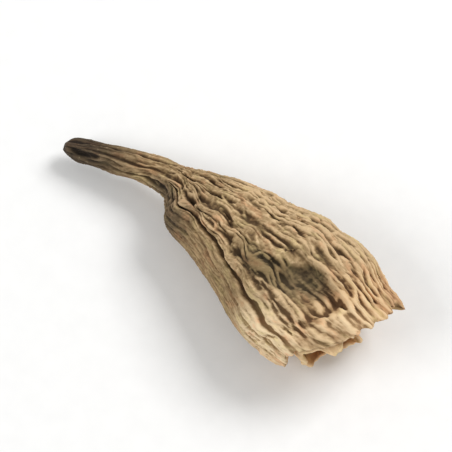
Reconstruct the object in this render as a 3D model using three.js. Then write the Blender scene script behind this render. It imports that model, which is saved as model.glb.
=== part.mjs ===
// A dried morel cap lying on its side: one hollow body with a bent, beak-like tip, lengthwise
// ribs that fork as the cap widens, a dent near its base, and a short cut stem.
// Millimetres, +Z up. +X runs along the cap from the tip to the stem. The origin is the middle
// of the part's footprint, on the surface that the cap lies on.
import * as THREE from 'three';

// ---- ribs ---------------------------------------------------------------------------------
const PRIMARY_RIBS = 8;            // ribs that already run along the tip
const FORKED_RIBS = 2;             // ribs that fork off into each gap between those
const COLUMNS_PER_RIB = 4;         // crest, wall, floor, wall
const RIB_DEPTH = 1.05;            // from a rib's crest to the floor of the gap beside it
const CREST_DROP = 0.35;           // how much lower the low stretches of a crest run
const RIB_SWAY = 0.35;             // how far a crest wanders to either side
const SWAY_RADIUS = 2.2;           // radius below which it wanders less, so that no two cross
const RIB_JITTER = 0.3;            // how unevenly the tip's ribs are spaced, as a share of a gap
const FORK_START = 0.05;           // a forked rib's first distance from its neighbour, as a share
const FORK_LENGTH = 6.0;           // length over which a forked rib leaves its neighbour
const FULL_GAP = 1.6;              // gap width from which a gap has its full depth
// Where the two ribs in each gap fork off, as distances from the tip along the skin. Gaps are
// counted from the underside, up the front, over the top and down the back.
const FIRST_FORK = [14, 12.5, 12.5, 12, 10, 13, 15, 12];
const SECOND_FORK = [19, 15, 14.5, 17, 19, 22, 24, 18];
// The front flank is smoother than the rest and ends at a crease, a gap deeper than the others.
const FLANK = { from: -2.5, to: -0.8, edge: 0.15, fade: 0.75 };
const CREASE = { gap: 9, extraDepth: 0.5, opens: 10, open: 14 };
// The ribs of the front slide down round the cap as it widens.
const SLIDE = { turn: 0.35, angle: -0.75, reach: 0.8, from: 16, to: 40 };

// ---- hollows pressed into the top as it dried ---------------------------------------------
const DENT = { x: 15.6, y: -1.4, long: 5.6, wide: 3.9, deep: 2.1 };
const TROUGH = { from: -7, to: 13, fade: 4, y: 0.3, wide: 2.4, deep: 0.8 };

// ---- frill of the margin: angle, width and reach of its lobes ------------------------------
const LOBES = [
  { angle: 1.26, width: 0.16, reach: 1.9 },
  { angle: 0.6, width: 0.4, reach: 2.4 },
  { angle: 0.0, width: 0.35, reach: 1.5 },
  { angle: -0.45, width: 0.5, reach: 2.0 },
  { angle: -1.5, width: 0.3, reach: 1.7 },
];
const SCALLOP = 0.18;              // how far the margin draws back between two ribs
// The margin is thin, so the gaps run out to this depth between two distances along the skin.
const SHALLOW = { depth: 0.25, from: 43, to: 45 };

// ---- uneven growth ------------------------------------------------------------------------
const LONG_WAVE = 9.5;             // lengths of the slow waves in sway, crests and pits
const SHORT_WAVE = 5.2;
const WAVES = { sway: 0, pit: 200, crest: 300 };
const LUMP = 0.3;                  // how far the skin swells and sinks in slow waves
const STEM_FOLD = 0.07;            // how far the stem's wall folds in and out, as a share
const STEM_TEAR = 0.35;            // how uneven the stem's cut rim is

// ---- the skin -----------------------------------------------------------------------------
// The skin is drawn through rings: from the closed tip along the outside, round the margin, over
// the stem's rim and back inside to the closed end of the hollow. Each row holds a ring's centre
// x, y, z, its turn about Z and its forward tilt in degrees, its half sizes to the front (-Y),
// back (+Y), top and underside, its share of the ribs' relief, of the frill and of the stem's
// folds, and the spacing of the mesh's rings from there on.
const TIP = [-21.7, -5.0, 2.3];
const RINGS = [
  // beak
  [-21.6, -4.95, 2.35, 24, 0, 0.55, 0.55, 0.5, 0.5, 0.1, 0, 0, 0.6],
  [-21.1, -4.7, 2.45, 24, 0, 1.0, 1.2, 1.1, 0.95, 0.3, 0, 0, 1.3],
  [-20.0, -4.25, 2.65, 24, 0, 1.45, 1.75, 1.6, 1.4, 0.5, 0, 0, 1.4],
  [-17.7, -3.2, 3.0, 24, 0, 1.65, 1.9, 1.8, 1.7, 0.6, 0, 0, 1.4],
  [-14.6, -1.8, 3.4, 24, 0, 1.9, 2.05, 1.9, 1.9, 0.6, 0, 0, 1.4],
  [-11.2, -0.4, 3.9, 20, 0, 2.1, 2.0, 2.2, 2.3, 0.7, 0, 0, 1.2],
  [-9.0, 0.2, 4.3, 12, 0, 2.3, 2.0, 2.5, 2.6, 0.85, 0, 0, 0.8],
  // shoulder
  [-7.7, 0.3, 4.5, 8, 0, 2.3, 2.1, 2.8, 3.0, 1, 0, 0, 0.8],
  [-6.3, 0.4, 4.8, 4, 0, 3.1, 2.45, 3.2, 3.7, 1, 0, 0, 1.2],
  // body
  [-3.5, 0.4, 5.3, 1, 0, 5.5, 3.85, 4.3, 5.0, 1, 0, 0, 1.5],
  [1.5, 0.3, 5.9, 0, 0, 6.1, 5.8, 5.3, 6.1, 1, 0, 0, 1.5],
  [6.5, 0.2, 6.3, 0, 0, 7.5, 7.45, 6.0, 6.7, 1, 0, 0, 1.5],
  [11.5, 0.1, 6.5, -3, 2, 8.7, 9.05, 6.4, 6.9, 1, 0, 0, 1.5],
  [16.2, -0.1, 6.4, -9, 8, 9.5, 9.2, 6.3, 6.7, 1, 0, 0, 1.3],
  // margin, turned in to the groove round the stem
  [19.6, -0.2, 6.2, -15, 15, 9.5, 7.9, 5.7, 6.0, 0.95, 0.5, 0, 1.0],
  [21.1, -0.3, 6.0, -17, 18, 8.9, 7.3, 5.0, 5.3, 0.65, 1, 0, 1.0],
  [20.9, -0.5, 5.9, -17, 18, 7.9, 6.7, 4.4, 4.6, 0.2, 0.7, 0, 2.0],
  [19.0, -1.4, 5.6, -17, 14, 5.6, 5.3, 4.0, 3.9, 0, 0, 0.3, 1.0],
  // stem, its cut rim and its bore
  [19.3, -1.8, 5.4, -17, 10, 4.9, 4.6, 3.7, 3.5, 0, 0, 0.6, 1.5],
  [20.5, -2.1, 5.3, -18, 6, 4.6, 4.3, 3.6, 3.5, 0, 0, 0.9, 1.5],
  [21.8, -2.5, 5.2, -19, 4, 4.7, 4.4, 3.7, 3.6, 0, 0, 1, 1.0],
  [22.1, -2.6, 5.2, -19, 4, 4.3, 4.05, 3.35, 3.25, 0, 0, 1, 1.0],
  [21.8, -2.5, 5.2, -19, 4, 3.9, 3.7, 2.95, 2.85, 0, 0, 1, 3.0],
  [19.9, -2.1, 5.25, -16, 4, 3.8, 3.6, 3.1, 2.75, 0, 0, 0.7, 3.0],
  [18.1, -1.8, 5.35, -12, 4, 3.8, 3.7, 3.75, 2.7, 0, 0, 0.3, 2.0],
  // hollow
  [16.4, -1.0, 5.65, -8, 4, 5.2, 5.3, 4.4, 3.0, 0, 0, 0, 2.5],
  [14.0, -0.2, 6.0, 0, 2, 6.6, 6.4, 4.5, 4.2, 0, 0, 0, 3.0],
  [9.0, 0.1, 6.2, 0, 0, 6.3, 6.0, 4.0, 4.3, 0, 0, 0, 3.5],
  [3.0, 0.3, 5.8, 0, 0, 4.75, 4.1, 2.95, 4.0, 0, 0, 0, 3.5],
  [-2.5, 0.35, 5.2, 1, 0, 3.4, 2.4, 2.1, 2.7, 0, 0, 0, 2.5],
  [-5.5, 0.35, 4.9, 3, 0, 2.0, 1.3, 1.2, 1.4, 0, 0, 0, 2.0],
];
const STEP = 12;                   // the column that holds the spacing
const HOLLOW_END = [-6.6, 0.35, 4.8];
const PRESSED_FLAT = 0.45;         // how much of the lowest crests the surface has pressed flat

// ---- small maths --------------------------------------------------------------------------
const TURN = 2 * Math.PI;
const RIBS = PRIMARY_RIBS * (1 + FORKED_RIBS);

function mix(a, b, share) {
  return a + (b - a) * share;
}

function smoothstep(low, high, value) {
  const x = Math.min(1, Math.max(0, (value - low) / (high - low)));
  return x * x * (3 - 2 * x);
}

// A repeatable number from 0 to 1 for a whole number.
function chance(number) {
  const value = Math.sin(number * 12.9898 + 4.1) * 43758.5453;
  return value - Math.floor(value);
}

// A slow wave from -1 to 1 along the skin, different for each kind and each rib or gap.
function wander(kind, index, distance) {
  const number = kind + (index % RIBS);
  const long = Math.sin(TURN * (distance / LONG_WAVE + chance(number)));
  const short = Math.sin(TURN * (distance / SHORT_WAVE + chance(number + 100)));
  return 0.6 * long + 0.4 * short;
}

// ---- rings --------------------------------------------------------------------------------
// Distance along the skin at each ring: how far its centre and its half sizes move.
function ringDistances(rings) {
  const distances = [0];
  for (let i = 1; i < rings.length; i += 1) {
    const [a, b] = [rings[i - 1], rings[i]];
    const centre = Math.hypot(b[0] - a[0], b[1] - a[1], b[2] - a[2]);
    const growth = (b[5] + b[6] + b[7] + b[8] - a[5] - a[6] - a[7] - a[8]) / 4;
    distances.push(distances[i - 1] + Math.hypot(centre, growth));
  }
  return distances;
}

// Slopes for a cubic through the values that never overshoots them.
function gentleSlopes(at, values) {
  const last = values.length - 1;
  const rise = at.slice(1).map((x, i) => (values[i + 1] - values[i]) / (x - at[i]));
  const slopes = [rise[0]];
  for (let i = 1; i < last; i += 1) {
    const product = rise[i - 1] * rise[i];
    slopes.push(product > 0 ? (2 * product) / (rise[i - 1] + rise[i]) : 0);
  }
  slopes.push(rise[last - 1]);
  return slopes;
}

const ringAt = ringDistances(RINGS);
const columnsOfRings = RINGS[0].map((_, field) => RINGS.map((ring) => ring[field]));
const slopesOfRings = columnsOfRings.map((values) => gentleSlopes(ringAt, values));

// The ring at any distance along the skin, as named values.
function ring(distance) {
  let i = 0;
  while (i < ringAt.length - 2 && distance > ringAt[i + 1]) i += 1;
  const span = ringAt[i + 1] - ringAt[i];
  const u = (distance - ringAt[i]) / span;
  const values = columnsOfRings.map((column, field) => {
    const slopes = slopesOfRings[field];
    const start = (1 + 2 * u) * (1 - u) ** 2 * column[i] + u * (1 - u) ** 2 * span * slopes[i];
    const end = u * u * (3 - 2 * u) * column[i + 1] + u * u * (u - 1) * span * slopes[i + 1];
    return start + end;
  });
  const [x, y, z, turn, tilt, front, back, top, under, relief, frill, folds] = values;
  return { x, y, z, turn, tilt, front, back, top, under, relief, frill, folds };
}

function meanRadius(r) {
  return (r.front + r.back + r.top + r.under) / 4;
}

// How deep the dried-in hollows push the top down at a point.
function pressedIn(x, y) {
  const across = ((x - DENT.x) / DENT.long) ** 2 + ((y - DENT.y) / DENT.wide) ** 2;
  const dent = DENT.deep * Math.max(0, 1 - across) ** 2;
  const along = smoothstep(TROUGH.from, TROUGH.from + TROUGH.fade, x)
    * (1 - smoothstep(TROUGH.to - TROUGH.fade, TROUGH.to, x));
  const trough = TROUGH.deep * along * Math.exp(-(((y - TROUGH.y) / TROUGH.wide) ** 2));
  return Math.max(dent, trough);
}

// How much larger or smaller than its ring the skin is at an angle, as a share.
function swelling(r, distance, angle) {
  const lump = Math.sin(2 * angle + distance / 4.5 + 1) + Math.sin(3 * angle - distance / 3.4 + 4);
  const fold = Math.sin(2 * angle + 0.6) + 0.7 * Math.sin(5 * angle + 2);
  return 1 + (LUMP * r.relief * lump) / (2 * meanRadius(r) + 4) + STEM_FOLD * r.folds * fold;
}

// The smooth skin: angle 0 is the top, quarter turns are the back (+Y) and the front (-Y).
function smoothSkin(distance, angle) {
  const r = ring(distance);
  const [turn, tilt] = [THREE.MathUtils.degToRad(r.turn), THREE.MathUtils.degToRad(r.tilt)];
  const swell = swelling(r, distance, angle);
  const side = swell * Math.sin(angle) * (Math.sin(angle) > 0 ? r.back : r.front);
  const rise = swell * Math.cos(angle) * (Math.cos(angle) > 0 ? r.top : r.under);
  const tear = STEM_TEAR * r.folds * (Math.sin(3 * angle + 1) + 0.6 * Math.sin(7 * angle));
  const x = r.x + tear - side * Math.sin(turn) + rise * Math.sin(tilt) * Math.cos(turn);
  const y = r.y + side * Math.cos(turn) + rise * Math.sin(tilt) * Math.sin(turn);
  const z = r.z + rise * Math.cos(tilt);
  return new THREE.Vector3(x, y, z - pressedIn(x, y) * smoothstep(0, 0.6, Math.cos(angle)));
}

// The outward normal of the smooth skin.
function skinNormal(distance, angle) {
  const step = 0.02;
  const along = smoothSkin(distance + step, angle).sub(smoothSkin(distance - step, angle));
  const around = smoothSkin(distance, angle + step).sub(smoothSkin(distance, angle - step));
  return around.cross(along).normalize().negate();
}

// ---- ribs ---------------------------------------------------------------------------------
// How far a forked rib has parted from its neighbour, from 0 to 1.
function parted(forks, gap, distance) {
  const place = forks[gap % PRIMARY_RIBS];
  return smoothstep(place, place + FORK_LENGTH, distance);
}

// The sway of a rib. A forked rib takes its neighbour's sway until it has parted from it.
function sway(rib, distance) {
  const gap = Math.floor(rib / (1 + FORKED_RIBS));
  const place = rib - gap * (1 + FORKED_RIBS);
  const own = wander(WAVES.sway, rib, distance);
  if (place === 0) return own;
  if (place === 1) return mix(wander(WAVES.sway, rib - 1, distance), own, parted(FIRST_FORK, gap, distance));
  return mix(wander(WAVES.sway, rib + 1, distance), own, parted(SECOND_FORK, gap, distance));
}

// The angle round the skin at which a rib's crest runs.
function crestAngle(rib, distance, radius) {
  const gap = Math.floor(rib / (1 + FORKED_RIBS));
  const place = rib - gap * (1 + FORKED_RIBS);
  const jitter = (index) => RIB_JITTER * (chance(index % PRIMARY_RIBS) - 0.5);
  const primary = (index) => (index + jitter(index)) / PRIMARY_RIBS;
  const third = 1 / (1 + FORKED_RIBS);
  let share = 0;
  if (place === 1) share = mix(FORK_START, third, parted(FIRST_FORK, gap, distance));
  if (place === 2) share = 1 - mix(FORK_START, third, parted(SECOND_FORK, gap, distance));
  const straight = TURN * mix(primary(gap), primary(gap + 1), share) - Math.PI;
  const slide = SLIDE.turn * smoothstep(SLIDE.from, SLIDE.to, distance);
  const slid = straight - slide * Math.exp(-(((straight - SLIDE.angle) / SLIDE.reach) ** 2));
  return slid + (RIB_SWAY * sway(rib, distance)) / Math.max(radius, SWAY_RADIUS);
}

// How far a point lies below the crests: rib is the crest before it, share its place in the gap.
function inset(rib, share, angle, distance, gapWidth) {
  const dip = mix(wander(WAVES.crest, rib, distance), wander(WAVES.crest, rib + 1, distance), share);
  const lowCrest = CREST_DROP * (0.5 + 0.5 * dip);
  const inCrease = rib === CREASE.gap;
  const pit = RIB_DEPTH * (0.7 + 0.3 * wander(WAVES.pit, rib, distance));
  const crease = inCrease ? CREASE.extraDepth * smoothstep(CREASE.opens, CREASE.open, distance) : 0;
  const gap = (pit + crease) * Math.sin(Math.PI * share) ** 1.5 * smoothstep(0, FULL_GAP, gapWidth);
  const onFlank = smoothstep(FLANK.from - FLANK.edge, FLANK.from + FLANK.edge, angle)
    * (1 - smoothstep(FLANK.to - FLANK.edge, FLANK.to + FLANK.edge, angle));
  return (lowCrest + gap) * (inCrease ? 1 : 1 - FLANK.fade * onFlank);
}

// How far the margin reaches forward at an angle.
function frillReach(share, angle) {
  const lobes = LOBES.map((lobe) => lobe.reach * Math.exp(-(((angle - lobe.angle) / lobe.width) ** 2)));
  return lobes.reduce((sum, reach) => sum + reach, 0) - SCALLOP * Math.sin(Math.PI * share);
}

// ---- mesh ---------------------------------------------------------------------------------
function ringPositions() {
  const positions = [];
  for (let i = 0; i < RINGS.length - 1; i += 1) {
    const span = ringAt[i + 1] - ringAt[i];
    const steps = Math.max(1, Math.round(span / RINGS[i][STEP]));
    for (let k = 0; k < steps; k += 1) positions.push(ringAt[i] + (span * k) / steps);
  }
  positions.push(ringAt[ringAt.length - 1]);
  return positions;
}

function skinPoint(distance, column) {
  const rib = Math.floor(column / COLUMNS_PER_RIB);
  const share = column / COLUMNS_PER_RIB - rib;
  const r = ring(distance);
  const radius = meanRadius(r);
  const [here, next] = [crestAngle(rib, distance, radius), crestAngle(rib + 1, distance, radius)];
  const angle = mix(here, next, share);
  const full = r.relief * inset(rib, share, angle, distance, (next - here) * radius);
  const shallow = SHALLOW.depth * Math.tanh(full / SHALLOW.depth);
  const depth = mix(full, shallow, smoothstep(SHALLOW.from, SHALLOW.to, distance));
  const point = smoothSkin(distance, angle);
  if (depth > 0) point.addScaledVector(skinNormal(distance, angle), -depth);
  point.x += r.frill * frillReach(share, angle);
  return point;
}

function capGeometry() {
  const columns = RIBS * COLUMNS_PER_RIB;
  const distances = ringPositions();
  const points = [new THREE.Vector3(...TIP)];
  distances.forEach((distance) => {
    for (let column = 0; column < columns; column += 1) points.push(skinPoint(distance, column));
  });
  points.push(new THREE.Vector3(...HOLLOW_END));

  const box = new THREE.Box3().setFromPoints(points);
  const middle = box.getCenter(new THREE.Vector3());
  const surface = box.min.z + PRESSED_FLAT;
  const vertices = points.flatMap((p) => [p.x - middle.x, p.y - middle.y, Math.max(0, p.z - surface)]);

  const faces = [];
  const at = (row, column) => 1 + row * columns + (column % columns);
  for (let column = 0; column < columns; column += 1) {
    faces.push(0, at(0, column), at(0, column + 1));
    for (let row = 0; row < distances.length - 1; row += 1) {
      const [a, b] = [at(row, column), at(row, column + 1)];
      const [c, d] = [at(row + 1, column + 1), at(row + 1, column)];
      faces.push(a, d, c, a, c, b);
    }
    faces.push(points.length - 1, at(distances.length - 1, column + 1), at(distances.length - 1, column));
  }
  const geometry = new THREE.BufferGeometry();
  geometry.setAttribute('position', new THREE.Float32BufferAttribute(vertices, 3));
  geometry.setIndex(faces);
  geometry.computeVertexNormals();
  return geometry;
}

const skin = new THREE.MeshStandardMaterial({ color: 0xa48b69, roughness: 0.8, metalness: 0 });
const morel = new THREE.Mesh(capGeometry(), skin);
morel.name = 'morel';

const part = new THREE.Group();
part.add(morel);
export default part;
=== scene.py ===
"""A dried morel cap, lying on its side on a pale table."""

import bpy
import numpy as np
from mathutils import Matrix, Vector


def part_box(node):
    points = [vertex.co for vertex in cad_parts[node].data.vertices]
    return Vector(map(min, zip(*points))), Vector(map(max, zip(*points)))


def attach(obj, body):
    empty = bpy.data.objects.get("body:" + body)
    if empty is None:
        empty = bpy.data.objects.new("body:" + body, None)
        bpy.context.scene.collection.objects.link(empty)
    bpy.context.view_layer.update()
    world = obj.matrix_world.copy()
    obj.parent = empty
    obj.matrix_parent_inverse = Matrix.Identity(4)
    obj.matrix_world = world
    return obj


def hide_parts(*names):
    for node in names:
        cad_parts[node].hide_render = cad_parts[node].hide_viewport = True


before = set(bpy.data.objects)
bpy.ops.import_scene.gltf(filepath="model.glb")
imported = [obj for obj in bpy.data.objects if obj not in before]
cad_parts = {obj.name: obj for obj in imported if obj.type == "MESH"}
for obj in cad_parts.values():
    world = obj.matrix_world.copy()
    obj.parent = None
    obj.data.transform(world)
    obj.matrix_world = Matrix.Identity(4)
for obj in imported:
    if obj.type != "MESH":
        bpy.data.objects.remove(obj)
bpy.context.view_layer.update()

# ---- The cap's body -----------------------------------------------------------------------
# A morel is one grown piece: a hollow cap that runs into a hollow stem, all of the same thin
# flesh. This one dried on its side, so it is flattened, its tip has shrunk to a bent beak, and
# its stem was cut off short.

# The skin is drawn through rings, in millimetres and degrees, from the tip along the outside,
# round the margin and the stem's rim, and back inside to the hollow's end.
RING_FIELDS = ("x", "y", "z", "turn", "tilt", "front", "back", "top", "under",
               "relief", "frill", "folds", "spacing")
TIP = (-21.7, -5.0, 2.3)
RINGS = np.array([
    # beak
    (-21.6, -4.95, 2.35, 24, 0, 0.55, 0.55, 0.5, 0.5, 0.1, 0, 0, 0.2),
    (-21.1, -4.7, 2.45, 24, 0, 1.0, 1.2, 1.1, 0.95, 0.3, 0, 0, 0.22),
    (-20.0, -4.25, 2.65, 24, 0, 1.45, 1.75, 1.6, 1.4, 0.5, 0, 0, 0.26),
    (-17.7, -3.2, 3.0, 24, 0, 1.65, 1.9, 1.8, 1.7, 0.6, 0, 0, 0.28),
    (-14.6, -1.8, 3.4, 24, 0, 1.9, 2.05, 1.9, 1.9, 0.6, 0, 0, 0.28),
    (-11.2, -0.4, 3.9, 20, 0, 2.1, 2.0, 2.2, 2.3, 0.7, 0, 0, 0.24),
    (-9.0, 0.2, 4.3, 12, 0, 2.3, 2.0, 2.5, 2.6, 0.85, 0, 0, 0.15),
    # shoulder
    (-7.7, 0.3, 4.5, 8, 0, 2.3, 2.1, 2.8, 3.0, 1, 0, 0, 0.16),
    (-6.3, 0.4, 4.8, 4, 0, 3.1, 2.45, 3.2, 3.7, 1, 0, 0, 0.19),
    # body
    (-3.5, 0.4, 5.3, 1, 0, 5.5, 3.85, 4.3, 5.0, 1, 0, 0, 0.19),
    (1.5, 0.3, 5.9, 0, 0, 6.1, 5.8, 5.3, 6.1, 1, 0, 0, 0.19),
    (6.5, 0.2, 6.3, 0, 0, 7.5, 7.45, 6.0, 6.7, 1, 0, 0, 0.19),
    (11.5, 0.1, 6.5, -3, 2, 8.7, 9.05, 6.4, 6.9, 1, 0, 0, 0.18),
    (16.2, -0.1, 6.4, -9, 8, 9.5, 9.2, 6.3, 6.7, 1, 0, 0, 0.17),
    # margin, turned in to the groove round the stem
    (19.6, -0.2, 6.2, -15, 15, 9.5, 7.9, 5.7, 6.0, 0.95, 0.5, 0, 0.14),
    (21.1, -0.3, 6.0, -17, 18, 8.9, 7.3, 5.0, 5.3, 0.65, 1, 0, 0.14),
    (20.9, -0.5, 5.9, -17, 18, 7.9, 6.7, 4.4, 4.6, 0.2, 0.7, 0, 0.25),
    (19.0, -1.4, 5.6, -17, 14, 5.6, 5.3, 4.0, 3.9, 0, 0, 0.3, 0.25),
    # stem, its cut rim and its bore
    (19.3, -1.8, 5.4, -17, 10, 4.9, 4.6, 3.7, 3.5, 0, 0, 0.6, 0.25),
    (20.5, -2.1, 5.3, -18, 6, 4.6, 4.3, 3.6, 3.5, 0, 0, 0.9, 0.2),
    (21.8, -2.5, 5.2, -19, 4, 4.7, 4.4, 3.7, 3.6, 0, 0, 1, 0.12),
    (22.1, -2.6, 5.2, -19, 4, 4.3, 4.05, 3.35, 3.25, 0, 0, 1, 0.12),
    (21.8, -2.5, 5.2, -19, 4, 3.9, 3.7, 2.95, 2.85, 0, 0, 1, 0.4),
    (19.9, -2.1, 5.25, -16, 4, 3.8, 3.6, 3.1, 2.75, 0, 0, 0.7, 0.7),
    (18.1, -1.8, 5.35, -12, 4, 3.8, 3.7, 3.75, 2.7, 0, 0, 0.3, 0.7),
    # hollow
    (16.4, -1.0, 5.65, -8, 4, 5.2, 5.3, 4.4, 3.0, 0, 0, 0, 1.2),
    (14.0, -0.2, 6.0, 0, 2, 6.6, 6.4, 4.5, 4.2, 0, 0, 0, 1.7),
    (9.0, 0.1, 6.2, 0, 0, 6.3, 6.0, 4.0, 4.3, 0, 0, 0, 1.7),
    (3.0, 0.3, 5.8, 0, 0, 4.75, 4.1, 2.95, 4.0, 0, 0, 0, 1.7),
    (-2.5, 0.35, 5.2, 1, 0, 3.4, 2.4, 2.1, 2.7, 0, 0, 0, 1.7),
    (-5.5, 0.35, 4.9, 3, 0, 2.0, 1.3, 1.2, 1.4, 0, 0, 0, 1.7),
])
HOLLOW_END = (-6.6, 0.35, 4.8)
BEAK_RING, SHOULDER_RING, BASE_RING, MARGIN_RING = 5, 8, 13, 15
GROOVE_RING, RIM_RING, THROAT_RING = 17, 21, 24
TURN = 2 * np.pi
LUMP = {"size": 0.3, "evened": 4,
        "two_twist": 4.5, "two_start": 1, "three_twist": 3.4, "three_start": 4}
# For each of the stem's waves: how many go round, where they start, and their share.
STEM_FOLD = {"size": 0.07, "waves": ((2, 0.6, 1), (5, 2, 0.7))}
STEM_TEAR = {"size": 0.35, "waves": ((3, 1, 1), (7, 0, 0.6))}
DENT = {"x": 15.6, "y": -1.4, "long": 5.6, "wide": 3.9, "deep": 2.1}
TROUGH = {"from": -7, "to": 13, "fade": 4, "y": 0.3, "wide": 2.4, "deep": 0.8}
PRESSED_TOP = (0, 0.6)


def smoothstep(low, high, value):
    """0 up to low, 1 from high on, and 3x^2 - 2x^3 between them. Low may be the greater."""
    x = np.clip((value - low) / (high - low), 0, 1)
    return x * x * (3 - 2 * x)


def mix(a, b, share):
    """The value a share of the way from a to b."""
    return a + (b - a) * share


def bell(value, middle, width):
    """The bell curve exp(-x^2), where x is the distance from the middle in widths."""
    return np.exp(-(((value - middle) / width) ** 2))


def ring_distances():
    """Distance along the skin at each ring: how far its centre and its mean half size move."""
    centre = np.diff(RINGS[:, 0:3], axis=0)
    growth = np.diff(RINGS[:, 5:9].mean(axis=1))
    return np.concatenate([[0], np.cumsum(np.hypot(np.linalg.norm(centre, axis=1), growth))])


RING_AT = ring_distances()


def gentle_slopes(at, values):
    """Slopes for a cubic that never overshoots: the harmonic mean of the two neighbouring rises
    where they have the same sign, and else 0."""
    rise = np.diff(values, axis=0) / np.diff(at)[:, None]
    product = rise[:-1] * rise[1:]
    total = np.where(product > 0, rise[:-1] + rise[1:], 1)
    inner = np.where(product > 0, 2 * product / total, 0)
    return np.concatenate([rise[:1], inner, rise[-1:]])


RING_SLOPES = gentle_slopes(RING_AT, RINGS)


def ring(distance):
    """The ring at each distance along the skin: cubic Hermite curves through the rings' values."""
    i = np.clip(np.searchsorted(RING_AT, distance, side="right") - 1, 0, len(RING_AT) - 2)
    span = RING_AT[i + 1] - RING_AT[i]
    u = ((distance - RING_AT[i]) / span)[..., None]
    span = span[..., None]
    start = (1 + 2 * u) * (1 - u) ** 2 * RINGS[i] + u * (1 - u) ** 2 * span * RING_SLOPES[i]
    end = u * u * (3 - 2 * u) * RINGS[i + 1] + u * u * (u - 1) * span * RING_SLOPES[i + 1]
    return dict(zip(RING_FIELDS, np.moveaxis(start + end, -1, 0)))


def mean_radius(here):
    """The mean of a ring's four half sizes."""
    return (here["front"] + here["back"] + here["top"] + here["under"]) / 4


def waves_round(angle, waves):
    """A sum of sines round a ring, each of a count of waves, from its start, times its share."""
    return sum(share * np.sin(count * angle + start) for count, start, share in waves)


def pressed_in(x, y):
    """How far the dried-in hollows push the top down: an oval bowl (1 - d^2)^2 near the base,
    and a shallow trough with a bell-shaped section that leads to it from the shoulder."""
    across = ((x - DENT["x"]) / DENT["long"]) ** 2 + ((y - DENT["y"]) / DENT["wide"]) ** 2
    dent = DENT["deep"] * np.maximum(0, 1 - across) ** 2
    starts = smoothstep(TROUGH["from"], TROUGH["from"] + TROUGH["fade"], x)
    ends = 1 - smoothstep(TROUGH["to"] - TROUGH["fade"], TROUGH["to"], x)
    trough = TROUGH["deep"] * starts * ends * bell(y, TROUGH["y"], TROUGH["wide"])
    return np.maximum(dent, trough)


def smooth_skin(distance, angle):
    """The skin without its ribs. Each ring is an oval of four quarter ellipses, turned and tilted,
    with slow swellings of 2 and 3 waves round it that twist along the skin. The stem is folded
    and its rim torn, by sines too, and the top is pressed in. Angle 0 is the top, and the back
    (+Y) is at a quarter turn."""
    here = ring(distance)
    turn, tilt = np.radians(here["turn"]), np.radians(here["tilt"])
    two = np.sin(2 * angle + distance / LUMP["two_twist"] + LUMP["two_start"])
    three = np.sin(3 * angle - distance / LUMP["three_twist"] + LUMP["three_start"])
    lump = LUMP["size"] * here["relief"] * (two + three) / (2 * mean_radius(here) + LUMP["evened"])
    fold = STEM_FOLD["size"] * here["folds"] * waves_round(angle, STEM_FOLD["waves"])
    swell = 1 + lump + fold
    side = swell * np.sin(angle) * np.where(np.sin(angle) > 0, here["back"], here["front"])
    rise = swell * np.cos(angle) * np.where(np.cos(angle) > 0, here["top"], here["under"])
    tear = STEM_TEAR["size"] * here["folds"] * waves_round(angle, STEM_TEAR["waves"])
    x = here["x"] + tear - side * np.sin(turn) + rise * np.sin(tilt) * np.cos(turn)
    y = here["y"] + side * np.cos(turn) + rise * np.sin(tilt) * np.sin(turn)
    z = here["z"] + rise * np.cos(tilt) - pressed_in(x, y) * smoothstep(*PRESSED_TOP, np.cos(angle))
    return np.stack([x, y, z], axis=-1)


def skin_directions(distance, angle):
    """The outward normal of the smooth skin, and the unit direction round it, from the
    differences between nearby points."""
    step = 0.02
    along = smooth_skin(distance + step, angle) - smooth_skin(distance - step, angle)
    around = smooth_skin(distance, angle + step) - smooth_skin(distance, angle - step)
    normal = np.cross(along, around)
    normal /= np.linalg.norm(normal, axis=-1, keepdims=True)
    return normal, around / np.linalg.norm(around, axis=-1, keepdims=True)


# ---- The ribs -----------------------------------------------------------------------------
# The cap's outside is thrown into thin lengthwise ribs of the same flesh, with a gap between
# each two. They fork as the cap widens, sway slowly, are crinkled from drying, and have slid
# down the front near the base.
PRIMARY_RIBS = 8
FORKED_RIBS = 2
RIBS = PRIMARY_RIBS * (1 + FORKED_RIBS)
RIB_JITTER = 0.3
FORK_START = 0.05
FORK_LENGTH = 6.0
# How far along the skin the first and the second rib of each gap fork off.
FIRST_FORK = (14, 12.5, 12.5, 12, 10, 13, 15, 12)
SECOND_FORK = (19, 15, 14.5, 17, 19, 22, 24, 18)
SLIDE = {"turn": 0.35, "angle": -0.75, "reach": 0.8, "from": 16, "to": 40}
# How far the ribs sway to either side, and the least radius at which that becomes an angle.
SWAY = {"reach": 0.35, "radius": 2.2}
LONG_WAVE = {"length": 9.5, "share": 0.6}
SHORT_WAVE = {"length": 5.2, "share": 0.4, "chances": 100}
# Where each kind's own row of chances starts.
WANDERS = {"sway": 0, "pit": 200, "crest": 300, "lean": 400, "split": 700}
CRINKLES = ({"side": 0.17, "wave": 2.0, "seed": 1}, {"side": 0.06, "wave": 0.6, "seed": 13})
COLUMNS_PER_RIB = 14
COLUMNS = RIBS * COLUMNS_PER_RIB


def chance(number):
    """A repeatable number from 0 to 1 for each whole number: the fraction of a large sine."""
    value = np.sin(number * 12.9898 + 4.1) * 43758.5453
    return value - np.floor(value)


def wander(kind, index, distance):
    """A slow wave from -1 to 1 along the skin: a long and a short sine with random starts, for
    each kind and each rib or gap."""
    number = WANDERS[kind] + index % RIBS
    long = np.sin(TURN * (distance / LONG_WAVE["length"] + chance(number)))
    short = np.sin(TURN * (distance / SHORT_WAVE["length"] + chance(number + SHORT_WAVE["chances"])))
    return LONG_WAVE["share"] * long + SHORT_WAVE["share"] * short


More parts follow.
